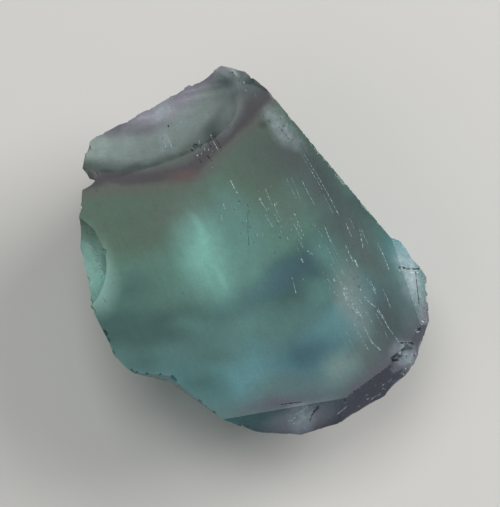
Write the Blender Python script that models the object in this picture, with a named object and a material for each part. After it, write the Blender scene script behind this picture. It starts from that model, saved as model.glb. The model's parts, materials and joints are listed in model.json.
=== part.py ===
"""A broken piece of green fluorite, split from an octahedral crystal.

It is one solid, and lies on its flat back. Its broad upper face and its back are two
faces of the octahedral cleavage. Between them stand leaning cleavage planes, hollow
shell-shaped breaks, stepped ledges and a rim of small chips.

Plan positions are in millimetres on the broad face, +X to the right and +Y away from
the viewer. An azimuth is the direction that a side faces, in degrees from +X towards +Y.
"""

import math
import random

import bmesh
import bpy
from mathutils import Matrix, Vector
from mathutils.bvhtree import BVHTree

MM = 0.001

# Driving dimensions, in millimetres and degrees
THICKNESS = 12.6  # back to broad face, at the middle
BROAD_FACE_TILT = 2.0  # the two cleavage faces aren't quite parallel
BROAD_FACE_FALLS_TO = -130.0  # azimuth in which the broad face drops
CLEAVAGE_LEAN = 19.47  # an octahedral cleavage leans this far from upright on a level face
FIRST_CLEAVAGE_AZIMUTH = 39.0  # the other five follow every 60 degrees
ROUGH_BLOCK = 60.0  # side of the block that the planes are cut from
WIDE_BALL = 12.0  # a hollow's ball wider than this is rounded more finely
SMALL_BALL = 2.8  # and one smaller than this more coarsely
SEED = 11

# Each side: azimuth, reach from the middle, height of its widest line, undercut below it
SIDES = {
    "long_right": (39.0, 10.45, 11.9, -6.0),
    "right_shoulder": (35.5, 11.2, 11.0, 4.0),
    "right_end": (-3.0, 16.35, 11.4, 15.0),
    "lower_right": (-22.0, 17.65, 10.4, CLEAVAGE_LEAN),
    "lower_right_corner": (-43.0, 18.35, 10.6, 22.0),
    "bottom_right": (-59.0, 18.25, 10.7, 20.0),
    "bottom": (-72.0, 18.1, 10.6, 17.0),
    "bottom_end": (-94.0, 17.25, 10.8, 16.0),
    "bottom_left": (-107.0, 16.5, 11.4, 17.0),
    "lower_left": (-117.0, 15.65, 12.0, 21.0),
    "left_corner": (-135.0, 16.05, 12.0, CLEAVAGE_LEAN),
    "left_low": (-154.0, 15.5, 11.8, CLEAVAGE_LEAN),
    "left": (-166.5, 15.1, 11.4, 14.0),
    "left_high": (177.0, 15.4, 11.6, 8.0),
    "upper_left_end": (160.0, 16.95, 11.2, 5.0),
    "upper_left_corner": (136.0, 16.95, 11.0, 1.0),
    "upper_left": (119.0, 15.45, 11.0, -2.0),
    "top": (78.0, 15.25, 12.0, -1.0),
    "top_right": (48.0, 11.35, 12.0, -2.0),
}

# Breaks across the body below the rim: azimuth, reach at the back, lean inwards
BODY_BREAKS = {
    "under_lower_left": (-139.0, 10.4, 30.0),
    "under_lower_right": (-19.0, 12.2, 27.0),
    "under_bottom": (-84.0, 12.0, 33.0),
    "under_left": (176.0, 12.4, 24.0),
    "under_right": (14.0, 12.4, 18.0),
    "behind_top": (101.0, 14.0, 13.0),
    "behind_upper_left": (146.0, 14.2, 17.0),
    "under_lower_edge": (-112.0, 10.6, 41.0),
}

# Facets on the upper side: azimuth, distance of its upper edge, height there, slope down
FACETS = {
    "right_wedge": (19.4, 7.53, 12.84, 8.5),
    "right_corner": (17.5, 12.1, 12.18, 40.0),
    "bottom_rim": (-82.0, 15.5, 12.45, 40.0),
    "bottom_right_rim": (-55.5, 16.75, 12.35, 48.0),
    "lower_right_rim": (-30.0, 17.2, 12.15, 55.0),
    "top_slope": (64.0, 13.1, 12.95, 14.0),
}

# Hollows of the upper side, like the inside of a shell: centre, half sizes, turn in plan
UPPER_HOLLOWS = {
    "upper_left_shell": ((-10.5, 10.8, 19.3), (16.3, 8.35, 8.0), 15.0),
    "upper_left_notch": ((-5.4, 17.2, 12.0), (3.0, 2.6, 6.0), 29.0),
    "upper_left_dip": ((-10.6, 14.3, 12.0), (2.5, 2.2, 6.0), 18.0),
    "left_notch": ((-15.5, 5.4, 11.8), (1.75, 1.0, 5.0), 20.0),
    "left_facet": ((-18.1, -2.9, 19.0), (8.6, 8.9, 8.6), -6.0),
    "bottom_hollow": ((2.6, -19.8, 12.7), (3.9, 3.1, 3.1), 8.0),
    "top_dip": ((-0.6, 15.4, 15.6), (2.6, 1.8, 3.1), -40.0),
}

# Hollows of the sides: azimuth, shift along the side, height, half width, half height, bite
SIDE_HOLLOWS = {
    "long_right_shell": (39.0, 5.2, 5.0, 4.6, 2.6, 0.55),
    "far_shell": (112.0, -3.0, 6.2, 4.2, 3.4, 0.55),
    "bottom_shell": (-82.0, 2.5, 5.0, 5.2, 2.6, 0.6),
    "left_shell": (178.0, 2.4, 5.6, 4.4, 2.8, 0.5),
    "lower_left_shell": (-128.0, 3.6, 6.4, 3.6, 2.4, 0.5),
    "right_shell": (-6.0, 1.4, 4.4, 3.4, 2.2, 0.45),
}

# Stepped ledges: azimuth, reach of the riser halfway up, shift, length, low, high. Each
# riser is a cleavage plane
LEDGES = {
    "long_right_second_tread": (39.0, 10.5, -4.0, 7.0, 6.2, 8.4),
    "long_right_low_tread": (39.0, 10.6, -6.5, 4.0, 2.2, 4.4),
    "far_tread": (99.0, 14.2, 1.6, 6.0, 5.6, 8.8),
    "far_low_tread": (99.0, 13.6, 4.4, 4.6, 2.6, 5.8),
    "upper_left_tread": (159.0, 14.6, -2.0, 4.6, 7.2, 9.4),
    "upper_left_low_tread": (159.0, 13.6, -3.2, 5.2, 2.0, 5.0),
    "left_tread": (-141.0, 14.0, -3.4, 5.0, 7.0, 9.2),
    "lower_left_tread": (-141.0, 12.5, 1.6, 6.0, 3.4, 5.2),
    "bottom_tread": (-81.0, 15.3, -4.6, 5.0, 6.9, 8.6),
    "bottom_low_tread": (-81.0, 13.0, -1.6, 7.0, 2.4, 3.9),
    "lower_right_tread": (-21.0, 14.8, -4.0, 5.6, 6.6, 8.6),
    "right_low_tread": (-21.0, 13.2, 0.8, 6.4, 2.4, 4.1),
}

# The steep face along the upper half of the long right side: azimuth, reach, lowest, undercut,
# and where it ends in a slanted step, along the side and in azimuth
LONG_RIGHT_FACE = (38.7, 9.87, 8.2, -4.0, -7.8, 79.0)

# Bands of cleavage chips on the sides: how many, lowest, highest, size range, bite range
SIDE_CHIPS = {
    "split_piece": (17, 1.6, 9.2, (2.0, 3.4), (0.35, 0.8)),
    "upper_side_chip": (66, 7.0, 11.0, (0.6, 1.9), (0.12, 0.45)),
    "lower_side_chip": (62, 0.3, 7.0, (0.7, 2.4), (0.12, 0.55)),
}

# Chips and scallops along the rim: how many, size range, bite range, rise and fall
RIM_CHIPS = (70, (0.3, 0.9), (0.06, 0.26), 0.5)
RIM_SCALLOPS = (34, (0.7, 1.9), (0.06, 0.2), 0.6)

# Crushed places of the upper side: two ends, jitter, height, how many, size, bite
CRUSHED_PLACES = {
    "crushed_corner": ((14.5, -10.1), (13.0, -11.9), 0.15, 11.9, 6, (0.6, 0.95), (0.1, 0.3)),
    "ridge_pits": ((-5.6, 8.6), (-4.4, 8.5), 0.12, 12.55, 4, (0.18, 0.3), (0.08, 0.14)),
}

# The angular bite in the lower left of the outline, corner by corner
LOWER_LEFT_BITE = ((-7.2, -12.5), (-2.3, -16.5), (-6.0, -19.5), (-12.0, -15.5), (-10.5, -12.2))
LOWER_LEFT_BITE_HEIGHTS = (2.0, 14.0)

FLUORITE_GREEN = (0.105, 0.215, 0.170, 1.0)  # linear colour of the body


def horizontal(azimuth):
    """The level direction of an azimuth."""
    angle = math.radians(azimuth)
    return Vector((math.cos(angle), math.sin(angle), 0.0))


def collection_named(name):
    collection = bpy.data.collections.new(name)
    bpy.context.scene.collection.children.link(collection)
    return collection


def clear_scene():
    for obj in list(bpy.data.objects):
        bpy.data.objects.remove(obj)


def fluorite_material():
    """Green fluorite: a dull glassy stone, no metal."""
    material = bpy.data.materials.new("green_fluorite")
    material.use_nodes = True
    shader = material.node_tree.nodes["Principled BSDF"]
    shader.inputs["Base Color"].default_value = FLUORITE_GREEN
    shader.inputs["Roughness"].default_value = 0.35
    shader.inputs["Metallic"].default_value = 0.0
    shader.inputs["IOR"].default_value = 1.434
    material.diffuse_color = FLUORITE_GREEN
    return material


def plane_of_side(azimuth, reach, height, undercut):
    """A wall plane through its widest line, leaning in below that line by undercut."""
    out = horizontal(azimuth)
    lean = math.radians(undercut)
    normal = out * math.cos(lean) - Vector((0, 0, math.sin(lean)))
    return out * reach + Vector((0, 0, height)), normal


def plane_of_facet(azimuth, distance, height, slope):
    """A plane that falls away from the broad face at a slope from level."""
    out = horizontal(azimuth)
    fall = math.radians(slope)
    normal = out * math.sin(fall) + Vector((0, 0, math.cos(fall)))
    return out * distance + Vector((0, 0, height)), normal


def cleavage_normal(azimuth):
    """The crystal's own cleavage plane that faces an azimuth: they lean up and down in turn."""
    step = round((azimuth - FIRST_CLEAVAGE_AZIMUTH) / 60.0)
    lean = math.radians(CLEAVAGE_LEAN if step % 2 == 0 else -CLEAVAGE_LEAN)
    out = horizontal(FIRST_CLEAVAGE_AZIMUTH + 60.0 * step)
    return out * math.cos(lean) + Vector((0, 0, math.sin(lean)))


def split_block(centre, planes):
    """A rough block split along each plane in turn, keeping what lies behind them all."""
    mesh = bmesh.new()
    place = Matrix.Translation(Vector(centre) * MM)
    bmesh.ops.create_cube(mesh, size=ROUGH_BLOCK * MM, matrix=place)
    for point, normal in planes:
        everything = mesh.verts[:] + mesh.edges[:] + mesh.faces[:]
        cut = bmesh.ops.bisect_plane(
            mesh, geom=everything, plane_co=point * MM, plane_no=normal, clear_outer=True
        )
        edges = [item for item in cut["geom_cut"] if isinstance(item, bmesh.types.BMEdge)]
        if edges:
            bmesh.ops.contextual_create(mesh, geom=edges)
    bmesh.ops.recalc_face_normals(mesh, faces=mesh.faces)
    return mesh


def object_from(mesh, name, collection):
    data = bpy.data.meshes.new(name)
    mesh.to_mesh(data)
    mesh.free()
    made = bpy.data.objects.new(name, data)
    collection.objects.link(made)
    return made


def cutter_from(mesh, name, collection):
    """Makes a hidden cutter of a finished edit mesh."""
    cutter = object_from(mesh, name, collection)
    cutter.hide_render = True
    cutter.display_type = "WIRE"
    return cutter


def cleaved_body(name, collection, material):
    """The stone before its ledges, hollows and chips, and a tree that rays can be cast on."""
    broad_face = plane_of_facet(BROAD_FACE_FALLS_TO, 0.0, THICKNESS, BROAD_FACE_TILT)
    planes = [broad_face]
    planes += [plane_of_side(*side) for side in SIDES.values()]
    planes += [plane_of_facet(*facet) for facet in FACETS.values()]
    planes += [
        plane_of_side(azimuth, reach, 0.0, lean)
        for azimuth, reach, lean in BODY_BREAKS.values()
    ]
    mesh = split_block((0, 0, ROUGH_BLOCK / 2), planes)
    tree = BVHTree.FromBMesh(mesh)
    body = object_from(mesh, name, collection)
    body.data.materials.append(material)
    return body, tree


def on_wall(tree, azimuth, shift, height):
    """Where a level ray from outside first meets the stone, in millimetres."""
    out = horizontal(azimuth)
    along = Vector((-out.y, out.x, 0.0))
    start = out * ROUGH_BLOCK + along * shift + Vector((0, 0, height))
    point, normal, _, _ = tree.ray_cast(start * MM, -out)
    return point / MM, normal


def hollow_cutter(name, collection, centre, radii, turn):
    """A squashed ball that breaks out a hollow like the inside of a shell."""
    widest = max(radii)
    fineness = 5 if widest > WIDE_BALL else 4 if widest > SMALL_BALL else 3
    mesh = bmesh.new()
    place = (
        Matrix.Translation(Vector(centre) * MM)
        @ Matrix.Rotation(math.radians(turn), 4, "Z")
        @ Matrix.Diagonal((*[radius * MM for radius in radii], 1.0))
    )
    bmesh.ops.create_icosphere(mesh, subdivisions=fineness, radius=1.0, matrix=place)
    return cutter_from(mesh, name, collection)


def side_hollow_cutter(
    name, collection, tree, azimuth, shift, height, half_width, half_height, bite
):
    """A hollow of a given width and bite in a side."""
    depth = 1.2 * half_width
    spread = math.sqrt(1.0 - (1.0 - bite / depth) ** 2)
    wall, normal = on_wall(tree, azimuth, shift, height)
    centre = wall + normal * (depth - bite)
    turn = math.degrees(math.atan2(normal.y, normal.x))
    radii = (depth, half_width / spread, half_height / spread)
    return hollow_cutter(name, collection, centre, radii, turn)


def steep_face_cutter(name, collection, azimuth, reach, low, undercut, end, end_azimuth):
    """All that lies outside a steep plane and above a level, as far as a slanted end step."""
    point, normal = plane_of_side(azimuth, reach, THICKNESS, undercut)
    out = horizontal(azimuth)
    along = Vector((-out.y, out.x, 0.0))
    level = Vector((0, 0, 1))
    planes = [
        (point, -normal),
        (level * low, -level),
        (out * reach + along * end, -horizontal(end_azimuth)),
    ]
    mesh = split_block(point, planes)
    return cutter_from(mesh, name, collection)


def ledge_cutter(name, collection, azimuth, reach, shift, length, low, high):
    """A notch whose riser and ends are cleavage planes, with a level tread and roof."""
    out = horizontal(azimuth)
    along = Vector((-out.y, out.x, 0.0))
    middle = out * reach + along * shift + Vector((0, 0, (low + high) / 2))
    level = Vector((0, 0, 1))
    planes = [
        (middle, cleavage_normal(azimuth + 180.0)),
        (middle + along * length / 2, cleavage_normal(azimuth + 120.0)),
        (middle - along * length / 2, cleavage_normal(azimuth - 120.0)),
        (level * low, -level),
        (level * high, level),
    ]
    mesh = split_block(middle, planes)
    return cutter_from(mesh, name, collection)


def chip_cutter(name, collection, rng, wall, inward, size, bite):
    """A small piece bounded by the eight cleavage planes, sunk by its bite into the stone."""
    along = inward.cross(Vector((0, 0, 1)))
    level = Vector((0, 0, 1))
    normals = [cleavage_normal(FIRST_CLEAVAGE_AZIMUTH + 60.0 * step) for step in range(6)]
    normals += [level, -level]
    planes = []
    for normal in normals:
        stretch = 1.0 + 1.3 * abs(normal.dot(along))
        planes.append((normal * size * stretch * rng.uniform(0.4, 1.0), normal))
    mesh = split_block((0, 0, 0), planes)
    sunk = max(vertex.co.dot(inward) for vertex in mesh.verts)
    offset = wall * MM - inward * (sunk - bite * MM)
    bmesh.ops.translate(mesh, verts=mesh.verts, vec=offset)
    return cutter_from(mesh, name, collection)


def side_chip_cutters(name, collection, tree, rng, count, low, high, sizes, bites):
    """Cleavage chips spread round the sides, with a jitter."""
    for index in range(count):
        azimuth = 360.0 * (index + rng.uniform(0.0, 1.0)) / count
        wall, normal = on_wall(tree, azimuth, 0.0, rng.uniform(low, high))
        size = rng.uniform(*sizes)
        chip_cutter(
            f"{name}_{index:02d}", collection, rng, wall, -normal, size, rng.uniform(*bites)
        )


def rim_corners():
    """Where neighbouring sides of the outline meet, in order round the stone."""
    sides = list(SIDES.values())
    corners = []
    for (azimuth, reach, height, _), following in zip(sides, sides[1:] + sides[:1]):
        here = horizontal(azimuth)
        there = horizontal(following[0])
        spread = here.x * there.y - here.y * there.x
        x = (reach * there.y - following[1] * here.y) / spread
        y = (following[1] * here.x - reach * there.x) / spread
        corners.append(Vector((x, y, (height + following[2]) / 2)))
    return corners


def along_rim(corners, share):
    """The point at a share of the way round the rim, and the outward direction there."""
    runs = list(zip(corners, corners[1:] + corners[:1]))
    left = share * sum((end - start).length for start, end in runs)
    for start, end in runs:
        along = end - start
        if left <= along.length:
            break
        left -= along.length
    along.normalize()
    outward = along.cross(Vector((0, 0, 1)))
    outward.z = 0.0
    outward.normalize()
    if outward.dot(start) < 0:
        outward.negate()
    return start + along * left, outward


def rim_chip_cutters(collection, rng, count, sizes, bites, rise):
    """Cleavage chips along the rim, spaced evenly with a jitter."""
    corners = rim_corners()
    for index in range(count):
        wall, outward = along_rim(corners, (index + rng.uniform(0.0, 1.0)) / count)
        wall.z += rng.uniform(-rise, rise)
        size = rng.uniform(*sizes)
        bite = rng.uniform(*bites)
        chip_cutter(f"rim_chip_{index:02d}", collection, rng, wall, -outward, size, bite)


def rim_scallop_cutters(collection, rng, count, half_widths, bites, rise):
    """Shallow shell-shaped scallops along the rim."""
    corners = rim_corners()
    for index in range(count):
        wall, outward = along_rim(corners, (index + rng.uniform(0.0, 1.0)) / count)
        wall.z += rng.uniform(-rise, rise)
        half_width = rng.uniform(*half_widths)
        bite = rng.uniform(*bites)
        depth = 1.2 * half_width
        spread = math.sqrt(1.0 - (1.0 - bite / depth) ** 2)
        radii = (depth, half_width / spread, half_width / spread)
        turn = math.degrees(math.atan2(outward.y, outward.x))
        centre = wall + outward * (depth - bite)
        hollow_cutter(f"rim_scallop_{index:02d}", collection, centre, radii, turn)


def crushed_place_cutters(
    name, collection, rng, start, end, jitter, height, count, sizes, bites
):
    """Small chips out of the upper side, close together along a line."""
    down = Vector((0, 0, -1))
    for index in range(count):
        place = Vector(start).lerp(Vector(end), (index + 0.5) / count)
        place.x += rng.uniform(-jitter, jitter)
        place.y += rng.uniform(-jitter, jitter)
        wall = Vector((place.x, place.y, height))
        size = rng.uniform(*sizes)
        chip_cutter(
            f"{name}_{index:02d}", collection, rng, wall, down, size, rng.uniform(*bites)
        )


def outline_cutter(name, collection, outline, low, high):
    """An upright prism on a plan outline."""
    curve = bpy.data.curves.new(name, "CURVE")
    curve.dimensions = "2D"
    curve.fill_mode = "BOTH"
    curve.extrude = (high - low) / 2 * MM
    spline = curve.splines.new("POLY")
    spline.points.add(len(outline) - 1)
    for point, (x, y) in zip(spline.points, outline):
        point.co = (x * MM, y * MM, 0.0, 1.0)
    spline.use_cyclic_u = True
    guide = bpy.data.objects.new(name + "_guide", curve)
    collection.objects.link(guide)
    graph = bpy.context.evaluated_depsgraph_get()
    data = bpy.data.meshes.new_from_object(guide.evaluated_get(graph))
    mesh = bmesh.new()
    mesh.from_mesh(data)
    bmesh.ops.remove_doubles(mesh, verts=mesh.verts, dist=1e-6)
    bmesh.ops.translate(mesh, verts=mesh.verts, vec=(0, 0, (low + high) / 2 * MM))
    bmesh.ops.recalc_face_normals(mesh, faces=mesh.faces)
    bpy.data.objects.remove(guide)
    bpy.data.meshes.remove(data)
    return cutter_from(mesh, name, collection)


def cut_with(body, collection):
    """Takes every cutter of a collection away from the body."""
    cut = body.modifiers.new(collection.name, "BOOLEAN")
    cut.operation = "DIFFERENCE"
    cut.operand_type = "COLLECTION"
    cut.collection = collection
    cut.solver = "EXACT"


def seat_on_origin(body, cutters):
    """Moves the stone and its cutters so that the middle of its footprint is the origin."""
    bpy.context.view_layer.update()
    graph = bpy.context.evaluated_depsgraph_get()
    points = [vertex.co for vertex in body.evaluated_get(graph).data.vertices]
    middle_x = (min(p.x for p in points) + max(p.x for p in points)) / 2
    middle_y = (min(p.y for p in points) + max(p.y for p in points)) / 2
    lowest = min(p.z for p in points)
    seat = bpy.data.objects.new("seat", None)
    bpy.context.scene.collection.objects.link(seat)
    for obj in [body, *cutters]:
        obj.parent = seat
    seat.location = (-middle_x, -middle_y, -lowest)


def main():
    clear_scene()
    stone = collection_named("fluorite_octahedron")
    ledges = collection_named("ledge_cutters")
    hollows = collection_named("hollow_cutters")
    chips = collection_named("chip_cutters")
    body, tree = cleaved_body("fluorite_crystal", stone, fluorite_material())
    for name, ledge in LEDGES.items():
        ledge_cutter(name, ledges, *ledge)
    steep_face_cutter("long_right_face", ledges, *LONG_RIGHT_FACE)
    outline_cutter("lower_left_bite", ledges, LOWER_LEFT_BITE, *LOWER_LEFT_BITE_HEIGHTS)
    for name, hollow in UPPER_HOLLOWS.items():
        hollow_cutter(name, hollows, *hollow)
    for name, hollow in SIDE_HOLLOWS.items():
        side_hollow_cutter(name, hollows, tree, *hollow)
    rng = random.Random(SEED)
    for name, band in SIDE_CHIPS.items():
        side_chip_cutters(name, chips, tree, rng, *band)
    rim_chip_cutters(chips, rng, *RIM_CHIPS)
    rim_scallop_cutters(hollows, rng, *RIM_SCALLOPS)
    for name, place in CRUSHED_PLACES.items():
        crushed_place_cutters(name, chips, rng, *place)
    for collection in (ledges, hollows, chips):
        cut_with(body, collection)
    cutters = [*ledges.objects, *hollows.objects, *chips.objects]
    seat_on_origin(body, cutters)


main()
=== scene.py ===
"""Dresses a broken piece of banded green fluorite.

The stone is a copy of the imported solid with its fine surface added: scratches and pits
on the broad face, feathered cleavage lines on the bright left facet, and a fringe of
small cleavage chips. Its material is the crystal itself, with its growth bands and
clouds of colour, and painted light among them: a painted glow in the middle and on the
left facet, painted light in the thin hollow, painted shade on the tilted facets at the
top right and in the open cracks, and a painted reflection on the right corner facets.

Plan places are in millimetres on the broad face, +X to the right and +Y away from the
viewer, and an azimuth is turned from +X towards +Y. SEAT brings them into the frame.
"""

import json
import math
import random

import bpy
from bpy.props import FloatProperty, FloatVectorProperty, IntProperty, PointerProperty
from mathutils import Matrix, Vector

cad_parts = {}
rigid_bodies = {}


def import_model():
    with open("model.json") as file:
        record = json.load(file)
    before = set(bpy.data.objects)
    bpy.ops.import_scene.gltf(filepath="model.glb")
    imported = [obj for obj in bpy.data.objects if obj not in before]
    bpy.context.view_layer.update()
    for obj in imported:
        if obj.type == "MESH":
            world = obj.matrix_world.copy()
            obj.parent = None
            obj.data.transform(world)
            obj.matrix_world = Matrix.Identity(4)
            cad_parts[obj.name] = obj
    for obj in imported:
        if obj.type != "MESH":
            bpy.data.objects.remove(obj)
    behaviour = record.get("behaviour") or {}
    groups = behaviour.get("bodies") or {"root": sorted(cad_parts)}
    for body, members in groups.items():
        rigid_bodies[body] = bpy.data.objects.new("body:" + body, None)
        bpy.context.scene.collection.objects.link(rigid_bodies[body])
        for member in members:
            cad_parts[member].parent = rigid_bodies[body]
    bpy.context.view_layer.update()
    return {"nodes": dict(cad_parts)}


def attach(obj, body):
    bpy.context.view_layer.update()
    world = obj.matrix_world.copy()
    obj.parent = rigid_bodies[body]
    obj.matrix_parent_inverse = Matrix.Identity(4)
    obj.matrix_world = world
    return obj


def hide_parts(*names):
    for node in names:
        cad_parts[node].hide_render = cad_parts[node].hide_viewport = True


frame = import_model()

bl_info = {
    "name": "Banded Fluorite Piece",
    "version": (1, 0, 0),
    "blender": (4, 5, 0),
    "location": "3D View > Sidebar > Fluorite",
    "description": "Adds the surface, the colours and a plain stage to a piece of fluorite",
    "category": "Object",
}

MM = 0.001
UP = Vector((0.0, 0.0, 1.0))
SEAT = Vector((-0.298, 0.656, 0.0))  # from a plan place to the frame, in mm
FACE_HEIGHT = 12.5  # mm, of the broad face above the back

FIRST_CLEAVAGE = math.radians(39.0)  # azimuth of one of the six leaning cleavage planes
SCRATCH_RUN = -66.0  # degrees, the way most scratches run

# Long scratches: plan places along each, and how wide it is against an ordinary one
SCRATCHES = (
    (((8.3, -5.0), (9.1, -6.2), (9.8, -7.3), (10.0, -7.9)), 3.4),
    (((8.3, -5.0), (8.6, -6.0), (9.6, -7.6)), 1.0),
    (((10.0, -8.0), (10.3, -8.6), (10.8, -9.6), (11.5, -10.3)), 1.7),
    (((10.1, -5.4), (10.6, -6.0), (11.1, -6.4)), 1.3),
    (((11.1, -6.4), (11.8, -7.4)), 2.1),
    (((11.8, -7.4), (12.2, -8.2), (13.1, -9.5)), 1.1),
    (((10.2, -6.6), (10.9, -8.0), (11.2, -8.6)), 1.2),
    (((9.7, -5.6), (9.9, -6.0)), 1.6),
    (((7.4, -4.9), (7.8, -5.4)), 1.5),
    (((8.5, -0.7), (9.2, -2.3)), 1.1),
    (((9.3, -2.0), (9.6, -2.7)), 1.7),
    (((11.4, -0.4), (12.1, -2.0), (12.4, -2.9)), 1.2),
    (((10.7, -4.0), (11.1, -4.8)), 1.1),
    (((4.8, 7.8), (5.9, 6.0), (6.9, 4.2), (8.0, 2.0)), 0.55),
    (((4.5, 7.9), (5.6, 6.0), (6.5, 4.4)), 0.5),
    (((8.6, 1.3), (9.0, 0.2)), 1.1),
    (((5.5, 1.3), (6.1, 0.7), (6.5, -0.1)), 1.1),
    (((4.3, -0.1), (4.7, -0.9)), 1.4),
    (((5.1, -1.2), (5.4, -1.6)), 1.2),
    (((4.5, -1.9), (4.7, -2.3)), 1.1),
    (((0.7, 3.7), (1.5, 2.5)), 1.1),
    (((1.3, 2.2), (2.0, 1.0)), 1.2),
    (((2.3, 1.9), (2.8, 1.0)), 1.1),
    (((-1.8, 5.4), (-1.4, 4.5)), 1.6),
    (((-2.4, 3.3), (-2.3, 2.7)), 1.6),
    (((-2.6, 2.2), (-2.5, 1.7)), 1.3),
    (((-3.6, 9.7), (-3.4, 9.1), (-2.9, 8.1)), 0.8),
    (((-4.6, 9.2), (-4.6, 8.6)), 1.0),
    (((3.7, -3.6), (4.1, -5.1)), 0.9),
    (((6.4, -3.1), (7.2, -4.3)), 1.3),
    (((9.8, 1.1), (10.1, -0.9)), 0.8),
    (((-8.2, 10.1), (-7.6, 8.5)), 1.1),
    (((-7.7, 10.1), (-7.1, 8.6)), 1.0),
    (((13.2, -3.0), (14.3, -3.0), (15.1, -2.9)), 1.3),
    (((13.6, -10.1), (14.9, -10.4)), 3.6),
    (((13.0, -10.8), (14.2, -11.0)), 1.4),
    (((12.9, -11.1), (13.8, -11.7)), 1.5),
    (((12.6, -11.7), (13.3, -12.2)), 1.2),
    (((13.3, -12.1), (13.9, -12.3)), 1.2),
    (((4.3, -15.7), (5.0, -15.3)), 3.2),
    (((3.3, -16.5), (4.0, -16.2)), 2.4),
    (((7.6, -15.9), (8.5, -15.2)), 1.6),
    (((14.9, -7.5), (15.4, -7.6)), 1.3),
    (((14.8, -8.0), (15.3, -8.0)), 1.2),
)

# Open cracks, painted dark as shade, in the same form
CRACKS = (
    (((13.1, -2.7), (14.3, -2.7), (15.2, -2.5)), 2.0),
    (((14.9, -2.8), (15.0, -4.4), (15.1, -5.9)), 1.3),
    (((13.2, -9.7), (14.2, -9.6), (15.0, -9.7)), 1.5),
    (((6.2, -15.1), (5.6, -15.7)), 2.6),
    (((5.6, -15.7), (5.3, -16.3)), 1.5),
    (((2.6, -15.1), (4.4, -14.9)), 0.9),
    (((-0.2, 2.5), (-0.2, 1.0), (-0.1, -0.7)), 0.45),
    (((-3.4, 9.9), (-3.1, 9.1), (-2.6, 8.3)), 0.7),
    (((-7.7, 10.9), (-7.5, 10.8)), 2.4),
    (((-4.9, 8.8), (-4.7, 8.5)), 1.8),
    (((-5.4, 8.3), (-5.2, 8.1)), 1.6),
    (((-3.9, 9.0), (-3.6, 8.5)), 0.9),
    (((-4.0, 7.7), (-3.5, 7.1)), 0.8),
    (((-4.7, 7.4), (-4.4, 6.9)), 0.8),
)


def linear(code):
    """The linear colour of an sRGB hex code."""
    parts = [int(code[place : place + 2], 16) / 255.0 for place in (1, 3, 5)]
    return [part / 12.92 if part <= 0.04045 else ((part + 0.055) / 1.055) ** 2.4 for part in parts]


def length_property(name, description, millimetres):
    """A length in metres, its default given in millimetres."""
    return FloatProperty(
        name=name,
        description=description,
        default=millimetres * MM,
        min=0.0,
        subtype="DISTANCE",
        unit="LENGTH",
    )


def count_property(name, description, default):
    return IntProperty(name=name, description=description, default=default, min=0)


def colour_property(name, description, code):
    """A linear colour, its default given as an sRGB hex code."""
    return FloatVectorProperty(
        name=name,
        description=description,
        default=linear(code),
        min=0.0,
        max=1.0,
        subtype="COLOR",
        size=3,
    )


class FLUORITE_PG_sizes(bpy.types.PropertyGroup):
    """Sizes of the stone's fine surface"""

    scratch_width: length_property("Scratch width", "Half width of an ordinary scratch", 0.052)
    scratch_depth: length_property("Scratch depth", "Depth of an ordinary scratch", 0.022)
    fleck_length: length_property("Fleck length", "Mean length of the flecks that make up a scratch", 0.45)
    crack_width: length_property("Crack width", "Half width of an ordinary crack", 0.06)
    crack_depth: length_property("Crack depth", "Depth of an ordinary crack", 0.1)
    ticks: count_property("Ticks", "Short ticks on the broad face and the rim", 190)
    hairs: count_property("Hair scratches", "Faint long scratches", 24)
    feathers: count_property("Feathers", "Fine lines on the left facet", 18)
    rim_notch: length_property("Rim notch", "Mean reach of the notches in the rim", 0.3)
    rim_notches: count_property("Rim notches", "Notches in the rim", 120)
    rim_nicks: count_property("Rim nicks", "Small pale nicks on the rim", 44)
    step: length_property("Step", "Mean reach of the cleavage steps on the sides", 1.0)
    step_depth: length_property("Step depth", "Mean depth of a cleavage step", 0.14)
    steps: count_property("Steps", "Cleavage steps on the sides", 170)
    seed: count_property("Seed", "Picks another spread of chips and ticks", 5)


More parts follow.
